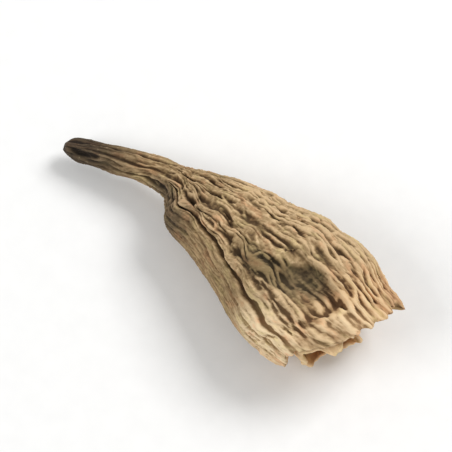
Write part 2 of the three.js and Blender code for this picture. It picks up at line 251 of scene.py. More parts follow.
def parted(places, gap, distance):
    """How far a forked rib has left its neighbour, from 0 at its fork to 1 a fork's length on."""
    place = np.take(places, gap % PRIMARY_RIBS)
    return smoothstep(place, place + FORK_LENGTH, distance)


def sway(rib, distance):
    """A rib's slow wave to either side. A forked rib takes its neighbour's until it has parted."""
    gap, place = np.divmod(rib, 1 + FORKED_RIBS)
    own = wander("sway", rib, distance)
    first = mix(wander("sway", rib - 1, distance), own, parted(FIRST_FORK, gap, distance))
    second = mix(wander("sway", rib + 1, distance), own, parted(SECOND_FORK, gap, distance))
    return np.choose(place, [own, first, second])


def primary_share(gap):
    """Where one of the tip's ribs runs, as a share of the way round: evenly spaced, then moved."""
    return (gap + RIB_JITTER * (chance(gap % PRIMARY_RIBS) - 0.5)) / PRIMARY_RIBS


def crest_angle(rib, distance, radius):
    """The angle at which a rib's crest runs: a third or two thirds of the way between the tip's
    ribs once it has forked off, slid down the front by a bell-shaped turn, and swayed."""
    gap, place = np.divmod(rib, 1 + FORKED_RIBS)
    third = 1 / (1 + FORKED_RIBS)
    first = mix(FORK_START, third, parted(FIRST_FORK, gap, distance))
    second = 1 - mix(FORK_START, third, parted(SECOND_FORK, gap, distance))
    share = np.choose(place, [0 * first, first, second])
    straight = TURN * mix(primary_share(gap), primary_share(gap + 1), share) - np.pi
    slide = SLIDE["turn"] * smoothstep(SLIDE["from"], SLIDE["to"], distance)
    slid = straight - slide * bell(straight, SLIDE["angle"], SLIDE["reach"])
    return slid + SWAY["reach"] * sway(rib, distance) / np.maximum(radius, SWAY["radius"])


def cap_rows():
    """The distances of the mesh's rows: each stretch between two rings is cut evenly, in steps
    of about its first ring's spacing."""
    steps = np.maximum(1, np.round(np.diff(RING_AT) / RINGS[:-1, -1]).astype(int))
    pieces = [np.linspace(a, b, n, endpoint=False) for a, b, n in zip(RING_AT, RING_AT[1:], steps)]
    return np.concatenate([*pieces, RING_AT[-1:]])


def scattered(cell, seed):
    """A repeatable scramble of each whole point of space by large odd factors and shifted bits,
    as a number of 32 random bits."""
    x, y, z = np.moveaxis(cell, -1, 0)
    mixed = (x * 374761393 + y * 668265263 + z * 974711 + seed * 69069) & 0xFFFFFFFF
    mixed = ((mixed ^ (mixed >> 13)) * 1274126177) & 0xFFFFFFFF
    return mixed ^ (mixed >> 16)


def noise(points, seed):
    """Gradient noise: a random slope at each whole point of space, blended between the eight
    nearest with 6t^5 - 15t^4 + 10t^3, and times 1.6, so that it runs from about -1 to 1."""
    cell = np.floor(points).astype(np.int64)
    near = points - cell
    fade = near ** 3 * (near * (near * 6 - 15) + 10)
    total = np.zeros(points.shape[:-1])
    for corner in np.ndindex(2, 2, 2):
        mixed = scattered(cell + corner, seed)
        turn = (mixed & 0xFFFF) / 0xFFFF * TURN
        rise = (mixed >> 16) / 0x7FFF - 1
        flat = np.sqrt(np.maximum(0, 1 - rise * rise))
        slope = np.stack([flat * np.cos(turn), flat * np.sin(turn), rise], axis=-1)
        weight = np.prod(np.where(corner, fade, 1 - fade), axis=-1)
        total += weight * ((near - corner) * slope).sum(axis=-1)
    return total * 1.6


# The skin's grid: rows along it, and columns from each rib's crest to the next one's. Grain is
# each point's place on a straight round cap, so that what is drawn with it follows the ribs.
rows = cap_rows()
rib, step = np.divmod(np.arange(COLUMNS), COLUMNS_PER_RIB)
distance, rib = np.broadcast_arrays(rows[:, None], rib)
share = np.broadcast_to(step / COLUMNS_PER_RIB, rib.shape)
here = ring(distance)
radius = mean_radius(here)
crest = crest_angle(rib, distance, radius)
gap_width = (crest_angle(rib + 1, distance, radius) - crest) * radius
angle = crest + share * gap_width / radius
grain = np.stack([radius * np.sin(angle), radius * np.cos(angle), distance], axis=-1)


def patchy(form):
    """Noise of about -1 to 1 over the skin, from a form's seed. Its wave is a length, or one
    for each of two ways across the grain and one along it."""
    return noise(grain / form["wave"], form["seed"])


crinkle = sum(form["side"] * patchy(form) for form in CRINKLES)
angle = angle + crinkle * here["relief"] / radius
smooth = smooth_skin(distance, angle)

# ---- The cap's regions --------------------------------------------------------------------
# The cap shrank unevenly. Its front flank stayed smoother and ends at a deep crease, its top
# has an oblong dent near the base with a smoother sunken patch in it, which is painted with
# shade, and its back is rougher, and painted lighter where the light falls on it.
TOP_EDGE = (0, 0.5)
DENT_EDGE = {"ragged": 0.2, "wave": 1.9, "seed": 14, "edge": 0.85, "full": 0.1}
FLANK = {"from": (-2.65, -2.35), "to": (-0.95, -0.65),
         "starts": (17, 21), "ends": (37, 42), "lost": 0.6}
CREASE = {"gap": 9, "deeper": 0.2, "opens": (10, 14)}
BACK = {"from": (-0.1, 0.6), "to": (1.9, 2.6)}
# The dent's deepest patch: its ribs worn lower, sunk a little, and painted with shade.
SHADE_POOL = {"x": 16.1, "y": -0.5, "slant": 0.2, "long": 3.2, "wide": 1.6,
        "ragged": 0.45, "wave": 1.7, "seed": 51, "edge": 1.5, "full": 0.3}


def within(rise, fall, value):
    """A smooth step up from 0 to 1 over the rise, and one down again over the fall."""
    return smoothstep(*rise, value) * (1 - smoothstep(*fall, value))


def dent_oval(x, y):
    """Distance from the dent's middle, 1 on its oval edge, and the direction from the middle,
    0 towards the base and a quarter turn towards the back."""
    along, across = (x - DENT["x"]) / DENT["long"], (y - DENT["y"]) / DENT["wide"]
    return np.hypot(along, across), np.arctan2(across, along)


on_top = smoothstep(*TOP_EDGE, np.cos(angle))
outside = 1 - smoothstep(RING_AT[MARGIN_RING], RING_AT[MARGIN_RING + 1], distance)
beak = 1 - smoothstep(RING_AT[BEAK_RING], RING_AT[SHOULDER_RING], distance)
back = within(BACK["from"], BACK["to"], angle) * (1 - beak)
in_crease = rib == CREASE["gap"]
flank = within(FLANK["from"], FLANK["to"], angle) * smoothstep(*FLANK["starts"], distance)
flank = flank * (1 - FLANK["lost"] * smoothstep(*FLANK["ends"], distance))
oval, towards = dent_oval(smooth[..., 0], smooth[..., 1])
oval = oval + DENT_EDGE["ragged"] * patchy(DENT_EDGE)
dent = smoothstep(DENT_EDGE["edge"], DENT_EDGE["full"], oval) * on_top * outside


def shaded_patch(form):
    """A slanting oval patch on top: a smooth step of the distance from its middle, which is 1
    on its edge, with noise added to make it ragged."""
    along = smooth[..., 0] - form["x"]
    across = smooth[..., 1] - form["y"] - form["slant"] * along
    away = np.hypot(along / form["long"], across / form["wide"]) + form["ragged"] * patchy(form)
    return smoothstep(form["edge"], form["full"], away) * on_top * outside


shade_pool = shaded_patch(SHADE_POOL)

# ---- Crests, walls and pits ---------------------------------------------------------------
# Seen from its end a rib is a blade: thin where the flesh shrank most, and broad on the back,
# the beak and the flank. Broad crests have split here and there. Lower walls tie the ribs
# together, so that they close off pits.
BROAD = {"least": 0.25, "back": 0.75, "beak": 0.5, "patchy": 0.3, "wave": 2.5, "seed": 15}
PINCH = {"share": 0.45, "wave": 1.2, "seed": 9}
CREST_HALF = (0.1, 0.65)
CREST_SHARE = {"thin": 0.14, "broad": 0.28}
WALL_REACH = 0.5
PITS = {"size": (1.3, 1.3, 5.0), "crest": 0.07, "reach": 0.5, "seed": 35}
PIT_SHAKE = {"side": 0.32, "wave": 1.6, "seeds": (31, 32, 33)}
TIES = {"low": 0.4, "high": 0.95, "patch": (-0.4, 0.4), "wave": 1.9, "seed": 34,
        "off_flank": 0.7, "off_beak": 0.75, "room": (0.4, 1.1)}
WORN = {"dent": 0.35, "shade_pool": 0.55}
CREST_DROP = {"deep": 0.35, "mean": 0.4, "sway": 0.4}
PIT_DEPTH = {"deep": 1.05, "mean": 0.72, "sway": 0.28, "room": (0, 1.1)}
SHALLOWER = {"flank": 0.75, "dent": 0.3, "back": 0.3}
SPLIT = {"deep": 0.2, "half_width": 0.13, "edge": (-0.3, 0.3), "crest": (0.12, 0.26),
         "patchy": 0.6, "wave": 1.4, "seed": 16}


def blade(away, crest, reach):
    """A dried wall seen from its end: 1 out to its crest's half width, then down in a hollow
    curve (1 - t^1.2)^1.8 to 0 at its reach, which is at least 0.05 mm further."""
    t = np.clip((np.abs(away) - crest) / np.maximum(reach - crest, 0.05), 0, 1)
    return (1 - t ** 1.2) ** 1.8


def joined(a, b, soft=0.12):
    """The higher of two ridges, with the notch between them filled by a round of that height."""
    near = np.maximum(0, soft - np.abs(a - b)) / soft
    return np.maximum(a, b) + near * near * soft / 4


def rounded(away, half_width):
    """A round-topped ridge: 1 at its middle, 0 from its half width on, (1 - d^2.4)^0.6 between."""
    return np.maximum(0, 1 - (np.abs(away) / half_width) ** 2.4) ** 0.6


def pit_walls(points, size, seed):
    """Distance to the nearest wall between pits. Each box of space of that size holds one random
    middle, placed by ten bits for each way; a pit is all that lies nearest to it, measured in
    sizes; and the distance to the wall with each neighbour is the difference of the squares over
    the slope of that difference."""
    places = points / size
    cell = np.floor(places).astype(np.int64)
    middles = []
    for corner in np.ndindex(3, 3, 3):
        beside = cell + corner - 1
        mixed = scattered(beside, seed)
        inside_cell = np.stack([mixed & 1023, mixed >> 10 & 1023, mixed >> 20 & 1023], axis=-1) / 1023
        middles.append(beside + inside_cell)
    squares = np.stack([((places - middle) ** 2).sum(axis=-1) for middle in middles])
    nearest = squares.argmin(axis=0)
    own = np.choose(nearest[..., None], middles)
    closest = np.full(nearest.shape, np.inf)
    for number, middle in enumerate(middles):
        slope = 2 * np.linalg.norm((middle - own) / size, axis=-1)
        away = (squares[number] - squares.min(axis=0)) / np.maximum(slope, 1e-6)
        closest = np.where(nearest == number, closest, np.minimum(closest, away))
    return closest


# The ribs on both sides of each gap.
broad = BROAD["least"] + BROAD["back"] * back + BROAD["beak"] * beak + flank + in_crease
broad = np.clip(broad + BROAD["patchy"] * patchy(BROAD), 0, 1) * (1 - dent)
pinch = 1 + PINCH["share"] * patchy(PINCH)
crest_half = np.clip(mix(CREST_SHARE["thin"], CREST_SHARE["broad"], broad) * gap_width, *CREST_HALF)
crest_half = crest_half * pinch
left_wall = blade(share * gap_width, crest_half, WALL_REACH * gap_width)
right_wall = blade((1 - share) * gap_width, crest_half, WALL_REACH * gap_width)

# The lower walls that tie them, shaken out of line. In the deep crease there are none.
shake = [noise(grain / PIT_SHAKE["wave"], seed) for seed in PIT_SHAKE["seeds"]]
shaken = grain + PIT_SHAKE["side"] * np.stack(shake, axis=-1)
wall_height = mix(TIES["low"], TIES["high"], smoothstep(*TIES["patch"], patchy(TIES)))
wall_away = pit_walls(shaken, PITS["size"], PITS["seed"])
ties = wall_height * blade(wall_away, PITS["crest"], PITS["reach"])
tied = (1 - TIES["off_flank"] * flank) * (1 - in_crease) * (1 - TIES["off_beak"] * beak)
tied = tied * smoothstep(*TIES["room"], gap_width)
ridge = joined(joined(left_wall, right_wall), ties * tied)
ridge = np.minimum(ridge, 1) * (1 - WORN["dent"] * dent) * (1 - WORN["shade_pool"] * shade_pool)

# How deep the skin lies under the smooth one: the crests a little, and the pits' floors most.
dip = mix(wander("crest", rib, distance), wander("crest", rib + 1, distance), share)
pit = PIT_DEPTH["deep"] * (PIT_DEPTH["mean"] + PIT_DEPTH["sway"] * wander("pit", rib, distance))
pit = pit * smoothstep(*PIT_DEPTH["room"], gap_width)
crease = CREASE["deeper"] * in_crease * smoothstep(*CREASE["opens"], distance)
depth = CREST_DROP["deep"] * (CREST_DROP["mean"] + CREST_DROP["sway"] * dip)
depth = depth + (pit + crease) * (1 - ridge)
depth *= (np.where(in_crease, 1, 1 - SHALLOWER["flank"] * flank)
          * (1 - SHALLOWER["dent"] * dent) * (1 - SHALLOWER["back"] * back))

# The split along the middle of a broad crest.
crest_away = np.minimum(share, 1 - share) * gap_width
nearest_rib = np.where(share < 0.5, rib, rib + 1)
split = wander("split", nearest_rib, distance) + SPLIT["patchy"] * patchy(SPLIT)
split = smoothstep(*SPLIT["edge"], split) * smoothstep(*SPLIT["crest"], crest_half)
depth += SPLIT["deep"] * split * (1 - flank) * rounded(crest_away, SPLIT["half_width"])

# ---- Shrivelled flesh ---------------------------------------------------------------------
# As it dried the flesh crumpled and wrinkled, mostly lengthwise. Its crests are notched, its
# walls pleated, the back and the base pocked, the dent's floor curled in arcs, and the tip
# has sunk in a loop. Near the margin the flesh is too thin for more than shallow relief.
SMOOTHER = 0.6
CRUMPLE = {"deep": 0.25, "wave": 3.4, "seed": 2}
LUMPS = {"deep": 0.12, "wave": (0.8, 0.8, 2.8), "seed": 11}
NOTCHES = {"deep": 0.2, "wave": (1.0, 1.0, 2.4), "seed": 17, "edge": (0.1, 0.6)}
PLEATS = {"deep": 0.045, "wave": (0.9, 0.9, 0.4), "seed": 12}
WRINKLES = {"deep": 0.1, "wave": (0.42, 0.42, 3.2), "seed": 3}
GRAIN = {"deep": 0.05, "wave": 0.34, "seed": 4}
POCKS = {"deep": 0.45, "wave": (0.65, 0.65, 1.8), "seed": 41, "edge": (0.12, 0.5)}
POCKED = {"back": (24, 30), "base": (40.5, 43), "base_share": 1.2}
RAYS = {"deep": 0.16, "wave": (0.75, 0.75, 4.0), "seed": 44}
ARCS = {"deep": 0.12, "outward": 4.2, "round": 1.2, "seed": 19}
ARC_SHAKE = {"side": 0.12, "wave": 0.8, "seed": 20}
CRESCENT = {"rim": 0.66, "width": 0.12, "deep": 0.7, "middle": 0.1, "spread": 0.5}
CURL = {"rim": 0.9, "width": 0.14, "high": 0.45, "middle": -0.1, "spread": 0.7,
        "mean": 0.7, "patchy": 0.6, "wave": 0.9, "seed": 5}
POOL_DEPTH = 0.1
SHALLOW = {"depth": 0.25, "from": 43, "to": 45}
TIP_PIT = {"distance": 3.4, "angle": -0.75, "long": 2.3, "wide": 0.62, "bend": 0.5, "deep": 0.8,
           "lip": 0.2, "lip_at": 1.15, "lip_width": 0.3}


def creased(points, seed):
    """Sharp ridges, as skin that has dried: 1 where smooth noise crosses 0, and lower by three
    times the size of the noise elsewhere."""
    return 1 - 3 * np.abs(noise(points, seed))


def rim_arc(oval, towards, arc):
    """A bell-shaped section that follows the oval's edge and fades to both sides of its middle."""
    return bell(oval, arc["rim"], arc["width"]) * bell(towards, arc["middle"], arc["spread"])


def tip_pit(distance, angle, radius):
    """The looped pit at the tip: an oval bowl (1 - d^2)^0.8, bent along the skin, with a lip
    just outside the oval's edge."""
    along = (distance - TIP_PIT["distance"]) / TIP_PIT["long"]
    across = (angle - TIP_PIT["angle"]) * radius / TIP_PIT["wide"]
    oval = np.hypot(along, across - TIP_PIT["bend"] * along ** 2)
    bowl = TIP_PIT["deep"] * np.maximum(0, 1 - oval ** 2) ** 0.8
    return bowl - TIP_PIT["lip"] * bell(oval, TIP_PIT["lip_at"], TIP_PIT["lip_width"])


# Relief all over the cap, from the largest to the finest, then on the back and round the base.
rough = 1 - SMOOTHER * flank
wall = 4 * ridge * (1 - ridge)
base = smoothstep(*POCKED["base"], distance) * (1 - flank)
pocked = np.maximum(back * smoothstep(*POCKED["back"], distance), POCKED["base_share"] * base)
depth += CRUMPLE["deep"] * patchy(CRUMPLE)
depth += LUMPS["deep"] * rough * patchy(LUMPS)
depth += NOTCHES["deep"] * ridge * rough * smoothstep(*NOTCHES["edge"], patchy(NOTCHES))
depth -= PLEATS["deep"] * wall * rough * creased(grain / PLEATS["wave"], PLEATS["seed"])
depth -= WRINKLES["deep"] * rough * creased(grain / WRINKLES["wave"], WRINKLES["seed"])
depth -= GRAIN["deep"] * creased(grain / GRAIN["wave"], GRAIN["seed"])
depth += POCKS["deep"] * smoothstep(*POCKS["edge"], patchy(POCKS)) * pocked
depth -= RAYS["deep"] * base * creased(grain / RAYS["wave"], RAYS["seed"])

# The dent's floor: fine arcs round its middle, a deep crescent, and a ridge curled up beside it.
arcs = [ARCS["outward"] * oval, ARCS["round"] * np.cos(towards), ARCS["round"] * np.sin(towards)]
arcs = np.stack(arcs, axis=-1) + ARC_SHAKE["side"] * patchy(ARC_SHAKE)[..., None]
depth -= ARCS["deep"] * dent * creased(arcs, ARCS["seed"])
depth += CRESCENT["deep"] * rim_arc(oval, towards, CRESCENT) * on_top * outside
curled = rim_arc(oval, towards, CURL) * (CURL["mean"] + CURL["patchy"] * patchy(CURL))
depth -= CURL["high"] * curled * on_top * outside
depth += POOL_DEPTH * shade_pool

# Thinner flesh has less relief.
full = depth * here["relief"]
shallow = SHALLOW["depth"] * np.tanh(full / SHALLOW["depth"])
depth = mix(full, shallow, smoothstep(SHALLOW["from"], SHALLOW["to"], distance))
depth = depth + tip_pit(distance, angle, radius)

# ---- Leaning crests -----------------------------------------------------------------------
# The thin crests toppled to either side as they dried, where the gaps beside them are wide
# enough. They stand up straighter on the flank and on the beak.
TOPPLE = {"slow": 0.3, "quick": 0.16, "wave": 1.6, "seed": 18, "room": (0.4, 1.2),
          "off_flank": 0.7, "off_beak": 0.6}


def leaning(wall, side):
    """How far a gap's left wall, side 0, or its right wall, side 1, is moved round the cap: a
    slow and a quick wave, times the wall's height squared and the room in the narrower gap."""
    beside = np.roll(gap_width, COLUMNS_PER_RIB * (1 - 2 * side), axis=1)
    room = smoothstep(*TOPPLE["room"], np.minimum(gap_width, beside))
    lean = TOPPLE["slow"] * wander("lean", rib + side, distance) + TOPPLE["quick"] * patchy(TOPPLE)
    return room * wall ** 2 * lean


topple = leaning(left_wall, 0) + leaning(right_wall, 1)
topple = topple * here["relief"]
topple = topple * (1 - TOPPLE["off_flank"] * flank) * (1 - TOPPLE["off_beak"] * beak)

# ---- The stem -----------------------------------------------------------------------------
# The stub of the cut stem is a thin hollow tube that shrivelled most of all. It is wrinkled
# lengthwise and crumpled to all sides, and its ragged rim has a torn flap on top.
STEM_WRINKLES = ({"deep": 0.16, "wave": (0.6, 0.6, 3.0), "seed": 6},
                 {"deep": 0.07, "wave": 0.5, "seed": 7})
STEM_STARTS, STEM_ENDS = np.array([-0.5, 0.8]), np.array([-1, 0])
STEM_CRUMPLE = {"side": 0.55, "round": 1.3, "along": 2.6, "seed": 42}
STEM_RIM = {"reach": 0.7, "finer": (2.2, 2.2, 1.3), "seed": 43}
STEM_FLAP = {"angle": -0.25, "width": 0.4, "reach": 2.2}

stem_share = within(RING_AT[GROOVE_RING] + STEM_STARTS, RING_AT[THROAT_RING] + STEM_ENDS, distance)
stem_wrinkle = sum(form["deep"] * patchy(form) for form in STEM_WRINKLES)
sunk = depth + stem_wrinkle * stem_share
normal, around = skin_directions(distance, angle)
skin = smooth - normal * sunk[..., None] + around * topple[..., None]

stem_round = [STEM_CRUMPLE["round"] * np.sin(angle), STEM_CRUMPLE["round"] * np.cos(angle)]
stem_round = np.stack([*stem_round, smooth[..., 0] / STEM_CRUMPLE["along"]], axis=-1)
crumpled = here["folds"] * STEM_CRUMPLE["side"] * noise(stem_round, STEM_CRUMPLE["seed"])
outwards = np.stack([0 * angle, np.sin(angle), np.cos(angle)], axis=-1)
skin = skin + crumpled[..., None] * outwards
skin[..., 0] += here["folds"] * STEM_RIM["reach"] * noise(stem_round * STEM_RIM["finer"], STEM_RIM["seed"])
# The flap is the rim's alone: folds is 1 there and falls off quickly when cubed.
flap = STEM_FLAP["reach"] * bell(angle, STEM_FLAP["angle"], STEM_FLAP["width"])
skin[..., 0] += here["folds"] ** 3 * flap

# ---- The margin ---------------------------------------------------------------------------
# The cap's wide end hangs free round the stem as a thin edge. It has shrunk into broad lobes,
# is scalloped between the ribs, and is torn ragged.
SCALLOP = 0.18
RAGGED = {"reach": 0.35, "wave": 1.2, "seed": 8}
# Each lobe's angle, width and reach.
LOBES = ((1.26, 0.16, 1.9), (0.6, 0.4, 2.4), (0.0, 0.35, 1.5), (-0.45, 0.5, 2.0), (-1.5, 0.3, 1.7))

reach = sum(lobe_reach * bell(angle, middle, width) for middle, width, lobe_reach in LOBES)
ragged = RAGGED["reach"] * patchy(RAGGED)
skin[..., 0] += here["frill"] * (reach - SCALLOP * np.sin(np.pi * share) + ragged)

# ---- The skin's mesh ----------------------------------------------------------------------
# Cap, stem and inner wall are one closed skin. The cap lies on its lowest crests, which were
# pressed flat while it was soft.
MM_PER_METRE = 1000
PRESSED_FLAT = 0.45

cad_low, cad_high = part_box("morel")
cad_middle = (cad_low + cad_high) / 2
points = np.concatenate([[TIP], skin.reshape(-1, 3), [HOLLOW_END]])
low, high = points.min(axis=0), points.max(axis=0)
shift = np.array([*cad_middle]) * MM_PER_METRE - (low + high) / 2
shift[2] = -low[2] - PRESSED_FLAT
points = points + shift
points[:, 2] = np.maximum(points[:, 2], 0)


def closed_faces(row_count, column_count):
    """Four-sided faces between neighbouring rings, whose last column joins the first, and two
    fans of triangles that close the tip and the hollow's end."""
    index = 1 + np.arange(row_count * column_count).reshape(row_count, column_count)
    beside = np.roll(index, -1, axis=1)
    quads = np.stack([index[:-1], index[1:], beside[1:], beside[:-1]], axis=-1).reshape(-1, 4)
    first = np.stack([0 * index[0], index[0], beside[0]], axis=-1)
    last = np.stack([0 * index[0] + index[-1, -1] + 1, beside[-1], index[-1]], axis=-1)
    return first.tolist() + quads.tolist() + last.tolist()


def new_piece(name, corners, faces):
    """An object in the scene, with a mesh of those corners, in metres, and faces."""
    shape = bpy.data.meshes.new(name)
    shape.from_pydata(corners.tolist(), [], faces)
    piece = bpy.data.objects.new(name, shape)
    bpy.context.scene.collection.objects.link(piece)
    return piece


morel_skin = new_piece("morel_skin", points / MM_PER_METRE, closed_faces(len(rows), COLUMNS))
mesh = morel_skin.data
mesh.polygons.foreach_set("use_smooth", np.ones(len(mesh.polygons), bool))

# The map that a texture is drawn through: three islands, outside, margin with stem, and inside,
# each as long as its stretch of skin and as wide as the skin is round, with its seam underneath.
ISLANDS = (0, MARGIN_RING, RIM_RING, len(RINGS) - 1)
ISLAND_GAP = 1.0
FAN_LENGTH = {"tip": -0.4, "hollow": 0.6}
island_ends = [RING_AT[last] for last in ISLANDS[1:]]
map_size = max(RING_AT[-1] + ISLAND_GAP * len(ISLANDS), TURN * radius.max() + 2 * ISLAND_GAP)


def island_map():
    """Each face corner's place on the map: distance along the skin to the right, and the way
    round, times the skin's own width there, upwards."""
    row, column = np.divmod(np.arange((len(rows) - 1) * COLUMNS), COLUMNS)
    row = row[:, None] + np.array([0, 1, 1, 0])
    column = column[:, None] + np.array([0, 0, 1, 1])
    island = np.searchsorted(island_ends, rows[row[:, :1]] + 1e-6).clip(0, len(island_ends) - 1)
    right = rows[row] + ISLAND_GAP * (island + 1)
    up = map_size / 2 + (column / COLUMNS - 0.5) * TURN * radius[row, 0]
    return np.stack([right, up], axis=-1).reshape(-1, 2) / map_size


def fan_map(row, fan_length):
    """The same for a fan of triangles, whose shared corner lies on the map's middle line."""
    column = np.arange(COLUMNS)
    width = TURN * radius[row, 0]
    right = rows[row] + ISLAND_GAP * (1 if row == 0 else len(island_ends))
    near = np.stack([right + 0 * column, map_size / 2 + (column / COLUMNS - 0.5) * width], axis=-1)
    far = np.stack([near[:, 0], map_size / 2 + ((column + 1) / COLUMNS - 0.5) * width], axis=-1)
    pole = np.stack([near[:, 0] + fan_length, (near[:, 1] + far[:, 1]) / 2], axis=-1)
    corners = [pole, near, far] if row == 0 else [pole, far, near]
    return np.stack(corners, axis=1).reshape(-1, 2) / map_size


tip_fan, end_fan = fan_map(0, FAN_LENGTH["tip"]), fan_map(len(rows) - 1, FAN_LENGTH["hollow"])
corner_places = np.concatenate([tip_fan, island_map(), end_fan])
mesh.uv_layers.new(name="OFBake")
mesh.uv_layers["OFBake"].uv.foreach_set("vector", corner_places.astype(np.float32).ravel())

# ---- The skin's colours -------------------------------------------------------------------
# Dried flesh is light tan on its crests and brown in its pits. Painted shade darkens the pits
# and hollows further, and most of all the tip and the hollow under the shoulder. Raised edges
# have a painted highlight. The dent carries olive-brown painted shade, darker in its deepest
# part, and painted light brightens the back, the front of the base end and the lip by the
# stem. The margin is warm, the stem cream and the inside orange-brown.
PIT_RANGE = (-0.5, 2)
HOLLOW_REACH, HOLLOW_RANGE = (5, 9), (-0.6, 1)
EDGE_REACH, EDGE_RANGE = (2, 2), (-0.3, 0.3)
# Painted olive-brown shade on the dent and in front of it.
SHADE = {"x": 11.8, "y": -2.6, "slant": 0.2, "long": 5.5, "wide": 2.0,
         "ragged": 0.15, "wave": 1.9, "seed": 14, "edge": 1.25, "full": 0.5}
# Painted shade under the shoulder: a spot, the limit of its ragged edge, and a weaker spot at its end. It
# darkens the pits more than the crests.
NOOK_SHADE = {"painted_shade": 1.9, "at": 18.0, "long": 4.2, "angle": -1.25, "wide": 0.6,
        "ragged": 0.25, "wave": 1.2, "seed": 52}
NOOK_SHADE_LIMIT = {"painted_shade": 1, "at": 18.0, "long": 5.5, "angle": -1.25, "wide": 0.8, "fade": (0, 0.3)}
NOOK_SHADE_END = {"painted_shade": 0.5, "at": 21.5, "long": 2.5, "angle": -0.5, "wide": 0.45}
NOOK_SHADE_SHARE = {"pit": 0.92, "crest": 0.2}
# Painted shade on the beak, strongest at its tip.
TIP_SHADE = (3, 13.5)
# Painted light: the front of the base end, and the lip by the stem, made lighter.
PAINTED_BASE_LIGHT = {"along": (34, 40.5), "angle": -1.2, "wide": 0.5}
PAINTED_LIP_LIGHT = {"along": (42.8, 44), "angle": 0.0, "wide": 0.45, "share": 0.5}
CORNER = {"along": (43, 44.7), "angle": 1.15, "wide": 0.35, "share": 0.7}
# Painted light on the back, where the light falls, fading towards the base.
PAINTED_BACK_LIGHT = {"share": 0.75, "starts": (21, 26), "ends": (39, 43), "lost": 0.7}
MARGIN = {"starts": (-1, 0.6), "ends": (-1, 0), "angle": -0.4, "wide": 0.4, "lost": 0.6}


def blurred(values, rows_beside, columns_beside):
    """The mean over a window of that many rows and columns to each side."""
    count = 2 * columns_beside + 1
    mean = sum(np.roll(values, k - columns_beside, axis=1) for k in range(count)) / count
    padded = np.pad(mean, ((rows_beside, rows_beside), (0, 0)), mode="edge")
    count = 2 * rows_beside + 1
    return sum(padded[k:k + len(values)] for k in range(count)) / count


def shade_spot(form):
    """A spot of painted shade: a bell along the skin times a bell round it."""
    return form["painted_shade"] * bell(distance, form["at"], form["long"]) * bell(angle, form["angle"], form["wide"])


def end_patch(form):
    """A patch at the cap's wide end: a smooth step along the skin times a bell round it."""
    return smoothstep(*form["along"], distance) * bell(angle, form["angle"], form["wide"]) * outside


def note(name, values, ends=(0, 0)):
    """Stores a value for every vertex, for the material: the grid's, and the ends' two, of the
    tip and the hollow's end."""
    whole = np.concatenate([[ends[0]], values.reshape(-1, *np.shape(ends[0])), [ends[1]]])
    kind, field = ("FLOAT_VECTOR", "vector") if whole.ndim == 2 else ("FLOAT", "value")
    layer = mesh.attributes.new(name, kind, "POINT")
    layer.data.foreach_set(field, whole.astype(np.float32).ravel())


# Painted olive-brown shade on the dent.
shade = shaded_patch(SHADE)
# Painted shade under the shoulder, weaker on the crests.
nook_shade = np.clip(shade_spot(NOOK_SHADE) + NOOK_SHADE["ragged"] * patchy(NOOK_SHADE), 0, 1)
nook_shade = nook_shade * smoothstep(*NOOK_SHADE_LIMIT["fade"], shade_spot(NOOK_SHADE_LIMIT))
nook_shade = np.maximum(nook_shade, shade_spot(NOOK_SHADE_END))
nook_shade = nook_shade * (NOOK_SHADE_SHARE["pit"] - NOOK_SHADE_SHARE["crest"] * ridge)
# Painted light at the front of the base end.
painted_base_light = end_patch(PAINTED_BASE_LIGHT)
# Painted light on the back, where the light falls.
painted_back_light = PAINTED_BACK_LIGHT["share"] * back * (1 - shade) * smoothstep(*PAINTED_BACK_LIGHT["starts"], distance)
painted_back_light = painted_back_light * (1 - PAINTED_BACK_LIGHT["lost"] * smoothstep(*PAINTED_BACK_LIGHT["ends"], distance))
margin_rise = RING_AT[[BASE_RING, BASE_RING + 1]] + MARGIN["starts"]
margin = within(margin_rise, RING_AT[GROOVE_RING] + np.array(MARGIN["ends"]), distance)
margin = margin * (1 - MARGIN["lost"] * bell(angle, MARGIN["angle"], MARGIN["wide"]))

note("grain", grain, ((0, 0, 0), (0, 0, rows[-1])))
# The skin's depth. Its deepest pits are painted with shade.
note("pit", np.clip(depth * outside, *PIT_RANGE), (0.2, 0))
# Below its neighbours, for painted shade in hollows; above them, for a painted highlight on raised edges.
note("hollow", np.clip(depth - blurred(depth, *HOLLOW_REACH), *HOLLOW_RANGE))
note("edge", np.clip(blurred(depth, *EDGE_REACH) - depth, *EDGE_RANGE))
# Painted light on the back.
note("light", painted_back_light * outside)
# Painted shade on the dent and in its deepest patch.
note("shade", shade)
note("shade_pool", shade_pool)
note("flank", flank * outside * (1 - painted_base_light))
note("margin", margin)
# Painted light at the base end and the lip.
note("painted_end_light", np.maximum(painted_base_light, PAINTED_LIP_LIGHT["share"] * end_patch(PAINTED_LIP_LIGHT)))
note("corner", end_patch(CORNER) * CORNER["share"])
# Painted shade under the shoulder and at the tip.
note("painted_shade", np.maximum(nook_shade, 1 - smoothstep(*TIP_SHADE, distance)), (1, 0))
note("stem", stem_share)
note("inside", smoothstep(RING_AT[RIM_RING], RING_AT[RIM_RING + 1], distance), (0, 1))


def tone(red, green, blue):
    """A colour given as screen values from 0 to 255, in linear light by the sRGB curve."""
    share = np.array([red, green, blue]) / 255
    linear = np.where(share <= 0.04045, share / 12.92, ((share + 0.055) / 1.055) ** 2.4)
    return (*linear.tolist(), 1)


